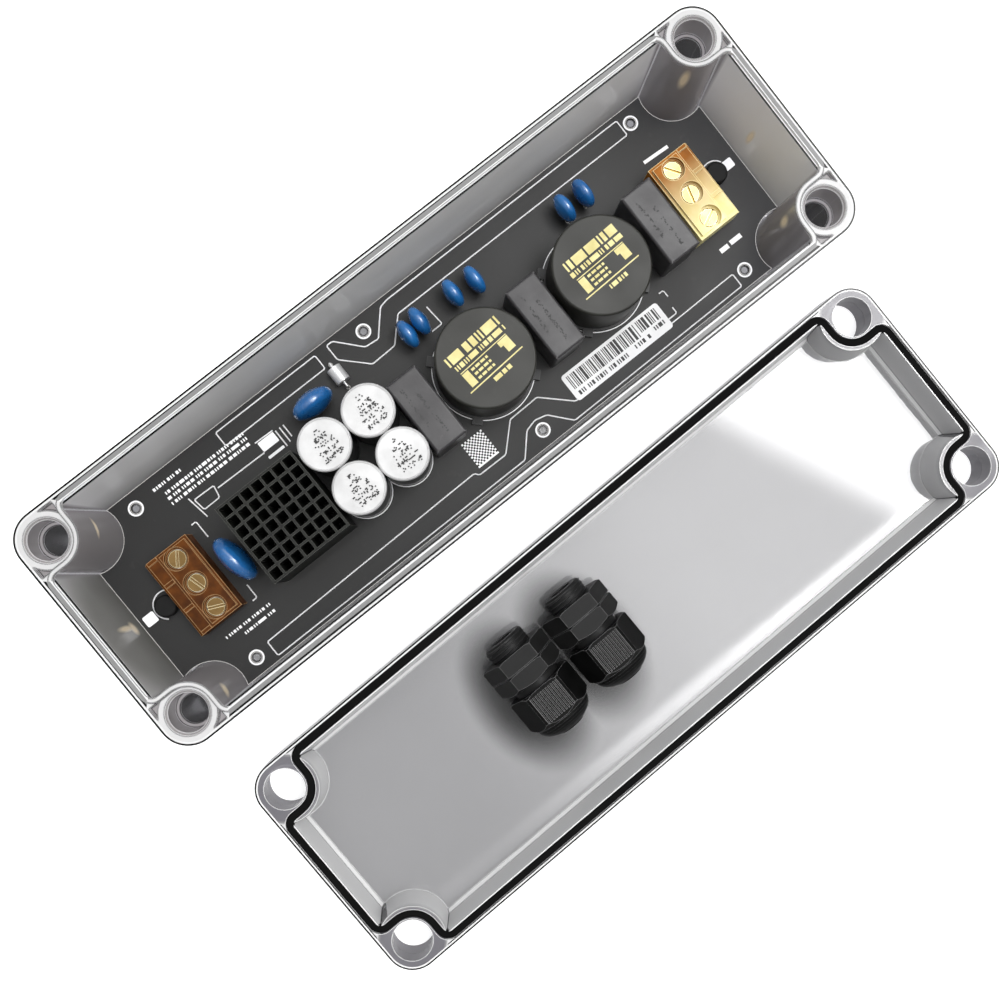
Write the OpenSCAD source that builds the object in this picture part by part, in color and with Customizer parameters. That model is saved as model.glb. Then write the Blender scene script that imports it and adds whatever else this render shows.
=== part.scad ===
// Mains interference filter in a clear sealed box, shown open.
// The base with its filled circuit board stands at the origin. The lid lies
// upside down beside it, with two cable glands resting in its tray.
// X runs along the box, Y across it, Z is up and z = 0 is the table.

/* [Enclosure] */
// Outer length of the box
box_l = 250; // [236:1:300]
// Outer width of the box
box_w = 80; // [76:1:110]
// Height of the base up to its rim
base_h = 44; // [41:0.5:70]
// Radius of the upright corners
corner_r = 9; // [8:0.5:10]
// Radius of the edge round the outer faces
edge_r = 1.8; // [0.6:0.1:2.4]
// Wall thickness at the rim
wall_t = 4.1; // [3.8:0.1:4.6]
// Extra wall thickness at the floor of the base, for release from the mould
wall_draft = 0.9; // [0.4:0.1:1.4]
// Floor thickness of the base
floor_t = 3; // [2:0.1:4]

/* [Lid] */
// Height of the lid from its outer face to its rim
lid_h = 14; // [12.5:0.5:24]
// Panel thickness of the lid
panel_t = 3; // [2:0.1:4]
// How much the lid walls lean in between rim and panel
lid_draft = 1.7; // [0.5:0.1:2.2]
// Free table between base and lid
lid_gap = 15.4; // [6:0.1:60]
// How far the lid lies turned from parallel, in degrees
lid_turn = 1; // [-2:0.1:2]
// Diameter of the screw openings in the lid, at the rim
lid_hole_d = 12.7; // [11.6:0.1:12.9]
// Diameter of the wider part of those openings, at the outer face
lid_recess_d = 13.6; // [13.2:0.1:13.8]
// How far that wider part reaches up
lid_recess_h = 8; // [3:0.5:9]

/* [Corner columns] */
// Distance of a screw column from the end of the box
column_in_x = 9; // [8.8:0.1:10]
// Distance of a screw column from the side of the box
column_in_y = 9.25; // [8.8:0.05:10]
// Radius of a column at the rim
column_r = 9; // [8.7:0.1:9.4]
// Radius of a column at the floor
column_foot_r = 10.7; // [9.6:0.1:11.5]
// Diameter of the seat for a lid screw head
head_d = 11.3; // [9.5:0.1:12]
// Depth of that seat
head_depth = 9; // [4:0.5:14]
// Bevel round the mouth of that seat
head_bevel = 0.8; // [0.3:0.1:1]
// Diameter of the bore below the seat
screw_bore_d = 8.4; // [6:0.1:9]
// Solid bottom left in a column
column_bottom = 6; // [4:0.5:10]
// Diameter of the wall fixing hole through the bottom
fixing_d = 4.6; // [3.2:0.1:5.5]
// Depth of the small pockets beside each column
pocket_depth = 1.6; // [0.5:0.1:4]

/* [Seal] */
// Distance of the seal line from the outside
seal_in = 2.45; // [2.1:0.05:2.6]
// Radius of the seal line round a column
seal_r = 8.2; // [8:0.05:8.2]
// Radius where the seal line swings into a column
seal_swing = 3.2; // [2.6:0.1:4]
// Width of the tongue on the base
tongue_w = 1.5; // [1:0.1:1.8]
// Height of the tongue above the rim
tongue_h = 1.2; // [0.6:0.1:2]
// Width of the groove in the lid
groove_w = 2.5; // [2.2:0.1:2.8]
// Depth of that groove
groove_depth = 2.8; // [2:0.1:4]
// How far the gasket lies below the rim
gasket_sink = 0.9; // [0:0.1:1.2]
// Free room beside the gasket
gasket_gap = 0.05; // [0.02:0.01:0.1]

/* [Circuit board] */
// Thickness of the board
board_t = 1.6; // [1:0.1:2.4]
// Height of the moulded posts under the board
post_h = 6.4; // [4:0.1:10]
// Diameter of a post
post_d = 6.4; // [5:0.1:8]
// Diameter of the locating pin on a post
pin_d = 2.7; // [2:0.1:3.5]
// Free room round a locating pin
pin_gap = 0.25; // [0.1:0.05:0.4]
// Free room between board and walls
board_gap = 0.4; // [0.2:0.05:0.8]
// Distance of the two middle posts from the centre, first and second
post_mid_x = [-9.4, 15.6];
// Distance of the four end posts from the centre
post_end_x = 98.5; // [94:0.5:100]
// Distance of all posts from the long centre line
post_y = 29.5; // [28:0.1:30.5]

/* [Leads] */
// Diameter of the thin wire leads
lead_d = 0.8; // [0.5:0.1:1.1]
// Free room round a lead in the board
lead_gap = 0.15; // [0.1:0.05:0.3]
// How far leads stand out below the board
lead_out = 1.4; // [0.8:0.1:2.4]
// Radius of a solder joint
solder_r = 1.25; // [1:0.05:1.4]
// Height of a solder joint
solder_h = 1; // [0.5:0.1:1.3]

/* [Terminal blocks] */
// Distance of a terminal block's rear from the centre of the board
term_rear = 90.2; // [88:0.2:91]
// Shift of the blocks towards the back
term_y = -0.9; // [-3:0.1:3]
// Pitch of the three poles
term_pitch = 9.2; // [8.8:0.1:10]
// Depth of a block
term_depth = 15.6; // [15:0.1:16]
// Length of a block beyond its outer poles, at both ends together
term_ends = 8.8; // [8.6:0.1:12]
// Depth of the tall part that holds the screws
term_tall = 11.2; // [10.8:0.1:11.8]
// Distance of the screws from the rear
term_screw_in = 6.5; // [6.3:0.1:6.6]
// Height of the tall part
term_h = 9.6; // [9.2:0.1:14]
// Height of the low part round the wire entries
term_low_h = 7.8; // [7.4:0.1:8.6]
// Step that runs round the top of the tall part
term_step = 0.9; // [0.4:0.1:0.9]
// Diameter of the round well over each screw
well_d = 7.2; // [6.4:0.1:7.4]
// Depth of that well
well_depth = 1.5; // [0.5:0.1:2]
// Width and height of a clamp cage
cage_w = 6.2; // [5.4:0.1:6.4]
cage_h = 5.6; // [5:0.1:5.8]
// Diameter of a clamp screw head
clamp_head_d = 5.4; // [5:0.1:5.6]
// Diameter of a clamp screw shank
clamp_shank_d = 3; // [2.5:0.1:3.2]

/* [Row of parts] */
// Shares of the free room along the row: from the left terminal block to the first disc,
// the grid block, the cans, three film capacitors with a choke after the first two,
// and the right terminal block
row_shares = [2.32, 1.93, 0.69, 0.25, 1.48, 1.13, 0.44, 2.12, 3.15];

/* [Disc capacitors] */
// Radius and thickness of the disc beside the left terminal block
disc_a_r = 8.2; // [7:0.1:8.6]
disc_a_t = 7.6; // [5:0.1:8.2]
// Turn of that disc from crosswise, in degrees
disc_a_turn = 8; // [0:1:12]
// Place of that disc along Y
disc_a_y = -2.6; // [-4:0.1:2]
// Radius and thickness of the disc behind the cans
disc_b_r = 7; // [6:0.1:7.4]
disc_b_t = 7.6; // [5:0.1:8]
// Shift of that disc from the middle of the cans, along X
disc_b_shift = -3.6; // [-6:0.1:-2.5]
// Free room between that disc and the cans
disc_b_gap = 2.6; // [1:0.1:4]
// Radius and thickness of the six small discs
disc_c_r = 4.9; // [4.2:0.1:5.1]
disc_c_t = 5; // [3:0.1:5.1]
// Free room between the row of small discs and the chokes' widest points
disc_c_gap = 2.1; // [1.3:0.1:4]
// Height of the discs above the board
disc_lift = 1.4; // [0.6:0.1:3]
// Roundness of a disc's rim, as a share of its thickness
disc_rim = 0.32; // [0.2:0.01:0.4]

/* [Electrolytic cans] */
// Diameter of a can with its sleeve
can_d = 15.9; // [14:0.1:16]
// Free room between two cans
can_gap = 0.1; // [0.05:0.05:0.5]
// Height of a can
can_h = 25.6; // [18:0.2:32]
// Place of the group of cans along Y
can_y = -2.4; // [-5:0.1:0]
// Spacing of a can's two leads
can_lead_pitch = 7.5; // [5:0.5:10]

/* [Grid block] */
// Width of the black grid block
grid_w = 27.3; // [24:0.1:28]
// Height of the block
grid_h = 26; // [15:0.5:32]
// Number of cells each way
grid_n = 7; // [5:1:9]
// Thickness of the cell walls
grid_wall = 0.7; // [0.5:0.1:1]
// Thickness of its solid bottom
grid_bottom = 6; // [3:0.5:9]
// Place of the block along Y
grid_y = -3.5; // [-6:0.1:0]

/* [Chokes] */
// Radius of a choke's can
choke_r = 15.3; // [13:0.1:15.6]
// Height of a choke's can
choke_h = 18.6; // [12:0.2:26]
// Radius of the edge round its top
choke_edge = 0.8; // [0.4:0.1:1.5]
// Width of the flange beyond the can
choke_flange = 0.55; // [0.2:0.05:0.6]
// Thickness of the flange
choke_base_t = 1.4; // [0.8:0.1:2.4]
// Places of the two chokes along Y
choke_y = [-2.8, -2.5];

/* [Film capacitors] */
// Width of a film capacitor
film_w = 11.4; // [9:0.1:11.8]
// Length of a film capacitor
film_l = 25.4; // [20:0.1:27]
// Height of a film capacitor
film_h = 16; // [10:0.2:22]
// Radius of its edges
film_edge = 0.9; // [0.4:0.1:1.6]
// Spacing of its two leads
film_lead_pitch = 22.5; // [15:0.5:24]
// Places of the three film capacitors along Y
film_y = [-3.5, -3.4, -2.5];

/* [Small parts] */
// Diameter and length of the silvery axial part
axial_d = 4.7; // [3:0.1:5]
axial_l = 5.3; // [4:0.1:6]
// Shift of that part from the middle of the cans, along X
axial_shift = 8.05; // [7.4:0.05:9]
// Free room between that part's leads and the cans
axial_gap = 5.2; // [3:0.1:5.6]
// Radius and height of the round black parts at the board's ends
round_r = 3.5; // [2.5:0.1:3.6]
round_h = 3.4; // [2:0.1:6]

/* [Cable glands] */
// Width of the gland across its flats
gland_flats = 20.3; // [19:0.1:20.4]
// Length of the whole gland
gland_l = 35.2; // [33:0.2:40]
// Diameter of its thread
thread_d = 13.8; // [12:0.1:15]
// Length of thread beyond the locknut
thread_free = 4.8; // [3:0.1:9]
// Thickness of the locknut
locknut_t = 5.4; // [4:0.1:7]
// Thickness of the hexagon on the body
body_hex_t = 5.4; // [4:0.1:7]
// Length of the neck between body and dome nut
neck_l = 2.2; // [1:0.1:3.5]
// Diameter of the cable way
cable_d = 7.6; // [6:0.1:8.2]
// Number and depth of the grooves on every other flat of the dome nut
rib_n = 11; // [5:1:13]
rib_depth = 0.45; // [0.2:0.05:0.6]
// Pitch of the two glands as they lie
gland_pitch = 23.8; // [23.7:0.1:40]
// Place of the left gland's axis and of the thread ends in the lid
gland_x = -35.3; // [-80:0.1:-20]
gland_y = 23.4; // [10:0.1:26]

/* [Hidden] */
$fn = 96;

eps = 0.01;
over = 1;

// Heights on the board
board_z = floor_t + post_h;
top_z = board_z + board_t;
lead_z = board_z - lead_out;

// Plan of the box
half_l = box_l / 2;
half_w = box_w / 2;
column_x = half_l - column_in_x;
column_y = half_w - column_in_y;
seal_x = half_l - seal_in;
seal_y = half_w - seal_in;
ends = [-1, 1];
corners = [for (sx = ends, sy = ends) [sx, sy]];

// Board outline, from the cavity at the floor
board_l = box_l - 2 * (wall_t + wall_draft + board_gap);
board_w = box_w - 2 * (wall_t + wall_draft + board_gap);
column_at_board_r = column_foot_r - (column_foot_r - column_r) * post_h / (base_h - floor_t);
posts = concat(
    [for (k = corners) [k[0] * post_end_x, k[1] * post_y]],
    [[post_mid_x[0], post_y], [post_mid_x[1], -post_y]]
);

// Row of parts between the terminal blocks, from left to right
disc_a_room = disc_a_t + 2 * disc_a_r * sin(disc_a_turn);
can_pitch = can_d + can_gap;
choke_room = 2 * (choke_r + choke_flange);
row = [disc_a_room, grid_w, can_pitch + can_d, film_w, choke_room, film_w, choke_room, film_w];
row_free = 2 * term_rear - sum(row);

function sum(v, n = 99, i = 0) = i >= min(n, len(v)) ? 0 : v[i] + sum(v, n, i + 1);
function row_x(i) = -term_rear + sum(row, i) + row[i] / 2 + row_free * sum(row_shares, i + 1) / sum(row_shares);

grid_mid = [row_x(1), grid_y];
can_mid = [row_x(2), can_y];
cans_back = can_y + can_pitch / 2 + can_d / 2;
cans = [for (sy = [1, -1], sx = ends) can_mid + can_pitch / 2 * [sx, sy]];
chokes = [[row_x(4), choke_y[0]], [row_x(6), choke_y[1]]];
films = [[row_x(3), film_y[0]], [row_x(5), film_y[1]], [row_x(7), film_y[2]]];
axial_reach = axial_l / 2 + 1.7;
axial_at = [can_mid[0] + axial_shift, cans_back + axial_gap + axial_reach];
round_x = term_rear + term_depth + round_r + 0.3;
choke_lead = [10, 7.5];
term_pin_d = 1.3;
choke_pin_d = 1.2;

function beside_choke(i, dx, dy) = chokes[i] + [dx, choke_r + disc_c_gap + disc_c_r + choke_flange + dy];

// Discs: centre, turn about Z, radius, thickness and lead spacing
discs = [
    [[row_x(0), disc_a_y], 90 + disc_a_turn, disc_a_r, disc_a_t, 7.5],
    [[can_mid[0] + disc_b_shift, cans_back + disc_b_gap + disc_b_t / 2], 0, disc_b_r, disc_b_t, 7.5],
    [beside_choke(0, -12.5, -0.9), 90, disc_c_r, disc_c_t, 5],
    [beside_choke(0, -7.2, 0.1), 90, disc_c_r, disc_c_t, 5],
    [beside_choke(0, 6.3, 0.5), 90, disc_c_r, disc_c_t, 5],
    [beside_choke(0, 14.2, -0.3), 90, disc_c_r, disc_c_t, 5],
    [beside_choke(1, 5.5, -0.4), 90, disc_c_r, disc_c_t, 5],
    [beside_choke(1, 13, -0.2), 90, disc_c_r, disc_c_t, 5],
];

function turn(p, a) = [p[0] * cos(a) - p[1] * sin(a), p[0] * sin(a) + p[1] * cos(a)];
function term_pole(side, i) = [side * (term_rear + term_screw_in), term_y + (i - 1) * term_pitch];

// Every lead that goes through the board: centre and diameter
leads = concat(
    [for (d = discs, s = ends) [d[0] + turn([s * d[4] / 2, 0], d[1]), lead_d]],
    [for (c = cans, s = ends) [c + [0, s * can_lead_pitch / 2], lead_d]],
    [for (c = chokes, k = corners) [c + [k[0] * choke_lead[0], k[1] * choke_lead[1]], choke_pin_d]],
    [for (f = films, s = ends) [f + [0, s * film_lead_pitch / 2], lead_d]],
    [for (s = ends) [axial_at + [0, s * axial_reach], lead_d]],
    [for (s = ends, t = ends) [[s * round_x, t * round_r / 2], lead_d]],
    [for (k = corners) [grid_mid + k * grid_w / 3, choke_pin_d]],
    [for (s = ends, i = [0:2]) [term_pole(s, i), term_pin_d]]
);

// Outlines

module round_rect(l, w, r) {
    square([l - 2 * r, w], center = true);
    square([l, w - 2 * r], center = true);
    for (k = corners)
        translate([k[0] * (l / 2 - r), k[1] * (w / 2 - r)]) circle(r);
}

// Upright profile with rounded lower corners, centred on X
module slab_profile(w, h, r) {
    translate([-w / 2, r]) square([w, h - r]);
    translate([-w / 2 + r, 0]) square([w - 2 * r, h]);
    for (s = ends) translate([s * (w / 2 - r), r]) circle(r);
}

// Solid tray block: upright rounded corners and a rounded lower edge
module tray_block(h) {
    rotate([90, 0, 90]) translate([0, 0, corner_r - half_l])
        linear_extrude(box_l - 2 * corner_r) slab_profile(box_w, h, edge_r);
    rotate([90, 0, 0]) translate([0, 0, corner_r - half_w])
        linear_extrude(box_w - 2 * corner_r) slab_profile(box_l, h, edge_r);
    for (k = corners)
        translate([k[0] * (half_l - corner_r), k[1] * (half_w - corner_r), 0])
            rotate_extrude() {
                translate([0, edge_r]) square([corner_r, h - edge_r]);
                square([corner_r - edge_r, h]);
                translate([corner_r - edge_r, edge_r]) circle(edge_r);
            }
}

// Profile of a cavity that widens from the floor to the rim
module cavity_profile(half, h, draft, chamfer) {
    low = half - draft;
    lean = draft * chamfer / h;
    up = half + draft * over / h;
    polygon([
        [-low + chamfer, 0], [low - chamfer, 0], [low + lean, chamfer], [up, h + over],
        [-up, h + over], [-low - lean, chamfer],
    ]);
}

module cavity(h, draft, chamfer) {
    intersection() {
        rotate([90, 0, 90]) translate([0, 0, -half_l])
            linear_extrude(box_l) cavity_profile(half_w - wall_t, h, draft, chamfer);
        rotate([90, 0, 0]) translate([0, 0, -half_w])
            linear_extrude(box_w) cavity_profile(half_l - wall_t, h, draft, chamfer);
    }
}

// Area inside the seal line, moved inwards by d
module seal_zone(d) {
    r = seal_r + d;
    x = seal_x - d;
    y = seal_y - d;
    swing = seal_swing - d;
    difference() {
        square([2 * x, 2 * y], center = true);
        for (k = corners)
            mirror([k[0] < 0 ? 1 : 0, 0]) mirror([0, k[1] < 0 ? 1 : 0]) {
                translate([column_x, column_y]) circle(r);
                translate([column_x, column_y - r]) square([half_l, half_w]);
                translate([column_x - r, column_y]) square([half_l, half_w]);
                translate([x - swing, column_y - r - swing]) difference() {
                    square(swing + eps);
                    circle(swing);
                }
                translate([column_x - r - swing, y - swing]) difference() {
                    square(swing + eps);
                    circle(swing);
                }
            }
    }
}

module seal_band(w) {
    difference() {
        seal_zone(-w / 2);
        seal_zone(w / 2);
    }
}

// Two small pockets where a column meets the outer walls
module column_pockets() {
    wall = (seal_in - tongue_w / 2) / 1.2;
    reach_x = half_l - wall - column_x;
    reach_y = half_w - wall - column_y;
    near = seal_r - tongue_w / 2;
    difference() {
        union() {
            translate([0, -near]) square([reach_x, near]);
            translate([-near, 0]) square([near, reach_y]);
        }
        circle(column_r - 0.6);
    }
}

// Enclosure

module enclosure_base() color([0.86, 0.86, 0.90, 0.45]) {
    difference() {
        union() {
            tray_block(base_h);
            translate([0, 0, base_h - over]) linear_extrude(tongue_h + over) seal_band(tongue_w);
        }
        difference() {
            translate([0, 0, floor_t]) cavity(base_h - floor_t, wall_draft, 1.2);
            for (k = corners)
                translate([k[0] * column_x, k[1] * column_y, floor_t - over])
                    cylinder(h = base_h - floor_t + over, r1 = column_foot_r, r2 = column_r);
            translate([0, 0, base_h - eps]) linear_extrude(tongue_h + 2 * over) seal_band(tongue_w);
        }
        for (k = corners) translate([k[0] * column_x, k[1] * column_y, 0]) {
            translate([0, 0, -over]) cylinder(d = fixing_d, h = column_bottom + 2 * over);
            translate([0, 0, column_bottom]) cylinder(d = screw_bore_d, h = base_h);
            translate([0, 0, base_h - head_depth]) cylinder(d = head_d, h = head_depth + tongue_h + over);
            translate([0, 0, base_h - head_bevel])
                cylinder(h = head_bevel + over, r1 = head_d / 2, r2 = head_d / 2 + head_bevel + over);
            translate([0, 0, base_h - pocket_depth]) linear_extrude(pocket_depth + over)
                mirror([k[0] < 0 ? 1 : 0, 0]) mirror([0, k[1] < 0 ? 1 : 0]) column_pockets();
        }
    }
    for (p = posts) translate([p[0], p[1], floor_t - eps]) {
        cylinder(d = post_d, h = post_h + eps);
        cylinder(d = pin_d, h = post_h + board_t - 0.4);
    }
}

module in_lid() {
    translate([0, -(box_w + lid_gap), 0]) rotate([0, 0, lid_turn]) children();
}

module enclosure_lid() color([0.88, 0.88, 0.92, 0.45]) in_lid() {
    difference() {
        tray_block(lid_h);
        difference() {
            translate([0, 0, panel_t]) cavity(lid_h - panel_t, lid_draft, 1);
            for (k = corners)
                translate([k[0] * column_x, k[1] * column_y, panel_t - over])
                    cylinder(h = lid_h - panel_t + over, r1 = column_foot_r + lid_draft, r2 = column_foot_r);
        }
        translate([0, 0, lid_h - groove_depth]) linear_extrude(groove_depth + over) seal_band(groove_w);
        for (k = corners) translate([k[0] * column_x, k[1] * column_y, -over]) {
            cylinder(d = lid_hole_d, h = lid_h + 2 * over);
            cylinder(d = lid_recess_d, h = lid_recess_h + over);
        }
    }
}

module lid_gasket() color([0.07, 0.07, 0.08]) in_lid()
    translate([0, 0, lid_h - groove_depth])
        linear_extrude(groove_depth - gasket_sink) seal_band(groove_w - 2 * gasket_gap);

// Board

module circuit_board() color([0.20, 0.20, 0.20]) translate([0, 0, board_z])
    linear_extrude(board_t) difference() {
        square([board_l, board_w], center = true);
        for (k = corners) translate([k[0] * column_x, k[1] * column_y]) circle(column_at_board_r + board_gap);
        for (p = posts) translate(p) circle(d = pin_d + 2 * pin_gap);
        for (l = leads) translate(l[0]) circle(d = l[1] + 2 * lead_gap);
    }

module solder_joints() color([0.75, 0.76, 0.78])
    for (l = leads) translate([l[0][0], l[0][1], board_z - solder_h]) difference() {
        cylinder(h = solder_h, r1 = l[1] / 2 + 0.25, r2 = solder_r);
        translate([0, 0, -over]) cylinder(d = l[1] + 0.04, h = solder_h + 2 * over);
    }

module lead(p, d, z) {
    translate([p[0], p[1], lead_z]) cylinder(d = d, h = z - lead_z, $fn = 24);
}

// Terminal blocks

module at_terminal(side) {
    translate([side * term_rear, term_y, top_z]) mirror([side < 0 ? 1 : 0, 0, 0]) children();
}

term_l = 2 * term_pitch + term_ends;
term_floor = 0.8;
divider_w = 1.2;
cage_fit = 0.1;
cage_x = term_screw_in - cage_w / 2;
poles = [for (i = [-1:1]) i * term_pitch];

module terminal_block(side) color([0.72, 0.45, 0.14]) at_terminal(side) difference() {
    union() {
        rotate([90, 0, 0]) translate([0, 0, -term_l / 2]) linear_extrude(term_l) polygon([
            [0, 0], [term_depth, 0], [term_depth, term_low_h - 0.8], [term_depth - 0.8, term_low_h],
            [term_tall, term_low_h], [term_tall, term_h - term_step], [0, term_h - term_step],
        ]);
        translate([term_step, term_step - term_l / 2, 0])
            cube([term_tall - 2 * term_step, term_l - 2 * term_step, term_h]);
        for (y = [-0.5 * (term_l - divider_w), -0.5 * term_pitch, 0.5 * term_pitch, 0.5 * (term_l - divider_w)])
            translate([term_tall - eps, y - divider_w / 2, term_low_h - eps])
                cube([term_depth - term_tall - 1, divider_w, 1]);
    }
    for (y = poles) translate([0, y, 0]) {
        translate([cage_x - cage_fit, -cage_w / 2 - cage_fit, term_floor])
            cube([term_depth, cage_w + 2 * cage_fit, cage_h + cage_fit]);
        translate([term_screw_in, 0, term_floor]) cylinder(d = clamp_head_d + 0.5, h = term_h);
        translate([term_screw_in, 0, term_h - well_depth]) cylinder(d = well_d, h = well_depth + over);
        translate([term_screw_in, 0, -over]) cylinder(d = term_pin_d + 0.2, h = 2 * over + term_floor);
    }
}

module terminal_cages(side) color([0.78, 0.78, 0.76]) at_terminal(side)
    for (y = poles) translate([0, y, term_floor]) {
        difference() {
            translate([cage_x, -cage_w / 2, 0]) cube([cage_w, cage_w, cage_h]);
            translate([cage_x - over, 1 - cage_w / 2, 1]) cube([cage_w + 2 * over, cage_w - 2, cage_h - 2.4]);
            translate([term_screw_in, 0, 1]) cylinder(d = clamp_shank_d + 0.1, h = cage_h);
        }
        translate([term_screw_in, 0, -term_floor - board_t - lead_out])
            cylinder(d = term_pin_d, h = term_floor + board_t + lead_out + eps);
    }

module terminal_screws(side) color([0.80, 0.66, 0.34]) at_terminal(side)
    for (i = [0:2]) translate([term_screw_in, poles[i], term_floor + cage_h]) difference() {
        union() {
            cylinder(d = clamp_head_d, h = 1.7);
            translate([0, 0, 1.4 - cage_h * 0.55]) cylinder(d = clamp_shank_d, h = cage_h * 0.55);
        }
        rotate([0, 0, 25 + 50 * i]) translate([-clamp_head_d, -0.4, 0.9]) cube([2 * clamp_head_d, 0.8, over]);
    }

// Parts on the board

// Half profile of a coated disc: a lens whose faces run into a round rim
module disc_profile(r, t) {
    rim = t * disc_rim;
    c = r - rim;
    face = (c * c + t * t / 4 - rim * rim) / (t - 2 * rim);
    cut = c * face / (face - rim);
    intersection() {
        translate([0, t / 2 - face]) circle(face);
        translate([0, face - t / 2]) circle(face);
        translate([0, -t / 2]) square([cut, t]);
    }
    translate([c, 0]) circle(rim);
}

module disc_capacitor(i) color([0.10, 0.33, 0.62]) {
    d = discs[i];
    mid = top_z + disc_lift + d[2];
    translate([d[0][0], d[0][1], mid]) rotate([90, 0, d[1]]) rotate_extrude() disc_profile(d[2], d[3]);
    for (s = ends) lead(d[0] + turn([s * d[4] / 2, 0], d[1]), lead_d, mid - d[2] / 3);
}

module electrolytic_can(i) color([0.12, 0.12, 0.13]) {
    c = cans[i];
    r = can_d / 2;
    translate([c[0], c[1], top_z]) rotate_extrude() polygon([
        [0, 0], [r - 0.5, 0], [r, 0.5], [r, 2.3], [r - 0.5, 2.7], [r - 0.5, 3.2], [r, 3.7],
        [r, can_h - 0.7], [r - 0.25, can_h - 0.15], [r - 0.6, can_h], [r - 0.6, can_h - 0.25], [0, can_h - 0.25],
    ]);
    for (s = ends) lead(c + [0, s * can_lead_pitch / 2], lead_d, top_z + 1);
}

module grid_block() color([0.07, 0.07, 0.07]) {
    pitch = (grid_w - grid_wall) / grid_n;
    translate([grid_mid[0], grid_mid[1], top_z]) difference() {
        translate([-grid_w / 2, -grid_w / 2, 0]) cube([grid_w, grid_w, grid_h]);
        for (i = [0:grid_n - 1], j = [0:grid_n - 1])
            translate([i * pitch + grid_wall - grid_w / 2, j * pitch + grid_wall - grid_w / 2, grid_bottom])
                cube([pitch - grid_wall, pitch - grid_wall, grid_h]);
    }
    for (k = corners) lead(grid_mid + k * grid_w / 3, choke_pin_d, top_z + 1);
}

module choke_can(c) color([0.27, 0.27, 0.25]) translate([c[0], c[1], top_z + choke_base_t])
    rotate_extrude() {
        square([choke_r, choke_h - choke_edge]);
        square([choke_r - choke_edge, choke_h]);
        translate([choke_r - choke_edge, choke_h - choke_edge]) circle(choke_edge);
    }

module choke_base(c) color([0.10, 0.10, 0.10]) {
    translate([c[0], c[1], top_z]) {
        cylinder(r = choke_r + choke_flange, h = choke_base_t);
        for (k = corners) rotate([0, 0, k[0] < 0 ? 180 + 45 * k[1] : 45 * k[1]])
            translate([choke_r - 1, -1.6, 0]) cube([3.6, 3.2, choke_base_t]);
    }
    for (k = corners) lead(c + [k[0] * choke_lead[0], k[1] * choke_lead[1]], choke_pin_d, top_z + 1);
}

// Box with a rounded outline and rounded upper edges
module soft_box(w, l, h, r) {
    intersection() {
        linear_extrude(h) round_rect(w, l, r);
        rotate([90, 0, 90]) translate([0, h, -w / 2]) mirror([0, 1, 0]) linear_extrude(w) slab_profile(l, h, r);
        rotate([90, 0, 0]) translate([0, h, -l / 2]) mirror([0, 1, 0]) linear_extrude(l) slab_profile(w, h, r);
    }
}

module film_capacitor(f) color([0.45, 0.45, 0.48]) {
    translate([f[0], f[1], top_z]) soft_box(film_w, film_l, film_h, film_edge);
    for (s = ends) lead(f + [0, s * film_lead_pitch / 2], lead_d, top_z + 1);
}

module axial_part() color([0.80, 0.80, 0.80]) {
    axis_z = top_z + axial_d / 2 + 0.2;
    translate([axial_at[0], axial_at[1], axis_z]) rotate([90, 0, 0]) {
        translate([0, 0, -axial_l / 2]) cylinder(d = axial_d, h = axial_l);
        translate([0, 0, -axial_reach]) cylinder(d = lead_d, h = 2 * axial_reach, $fn = 24);
    }
    for (s = ends) {
        translate([axial_at[0], axial_at[1] + s * axial_reach, axis_z]) sphere(d = lead_d, $fn = 24);
        lead(axial_at + [0, s * axial_reach], lead_d, axis_z);
    }
}

module round_part(side) color([0.05, 0.05, 0.05]) {
    translate([side * round_x, 0, top_z]) rotate_extrude() {
        square([round_r, round_h - 0.8]);
        square([round_r - 0.8, round_h]);
        translate([round_r - 0.8, round_h - 0.8]) circle(0.8);
    }
    for (t = ends) lead([side * round_x, t * round_r / 2], lead_d, top_z + 1);
}

// Cable glands, each along Z with its thread end at 0

gland_corner_r = gland_flats / sqrt(3);
nut_z = thread_free + locknut_t + body_hex_t + neck_l;
nut_l = gland_l - nut_z;
neck_r = thread_d / 2 + 1.2;
seal_out_r = cable_d / 2 + 2;
stem_l = nut_l * 0.5;
nut_face = 0.35;

module in_gland(n) {
    in_lid() translate([gland_x + n * gland_pitch, gland_y, panel_t + gland_flats / 2]) rotate([90, 0, 0]) children();
}

module hexagon() circle(r = gland_corner_r, $fn = 6);

// Hexagon with fine grooves on every other flat
module ribbed_hexagon() {
    pitch = gland_corner_r * 0.92 / rib_n;
    difference() {
        hexagon();
        for (a = [90:120:330], i = [0:rib_n - 1])
            rotate(a) translate([gland_flats / 2 - rib_depth, (i - (rib_n - 1) / 2) * pitch - pitch * 0.22])
                square([1, pitch * 0.44]);
    }
}

module chamfered_hex(h, low, high) {
    r = gland_corner_r + eps;
    intersection() {
        linear_extrude(h) hexagon();
        rotate_extrude() polygon([[0, 0], [r - low, 0], [r, low * 0.6], [r, h - high * 0.6], [r - high, h], [0, h]]);
    }
}

module gland_body(n) color([0.12, 0.12, 0.13]) in_gland(n) difference() {
    union() {
        translate([0, 0, 0]) cylinder(d1 = thread_d - 1.2, d2 = thread_d, h = 0.8);
        translate([0, 0, 0.8]) cylinder(d = thread_d, h = thread_free + locknut_t - 0.8 + eps);
        translate([0, 0, thread_free + locknut_t]) chamfered_hex(body_hex_t, 0.6, 1.8);
        translate([0, 0, thread_free + locknut_t + body_hex_t - eps]) cylinder(r = neck_r, h = neck_l + stem_l);
    }
    translate([0, 0, -over]) cylinder(d = cable_d, h = gland_l);
    translate([0, 0, nut_z + 1]) cylinder(r = seal_out_r, h = gland_l);
}

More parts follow.
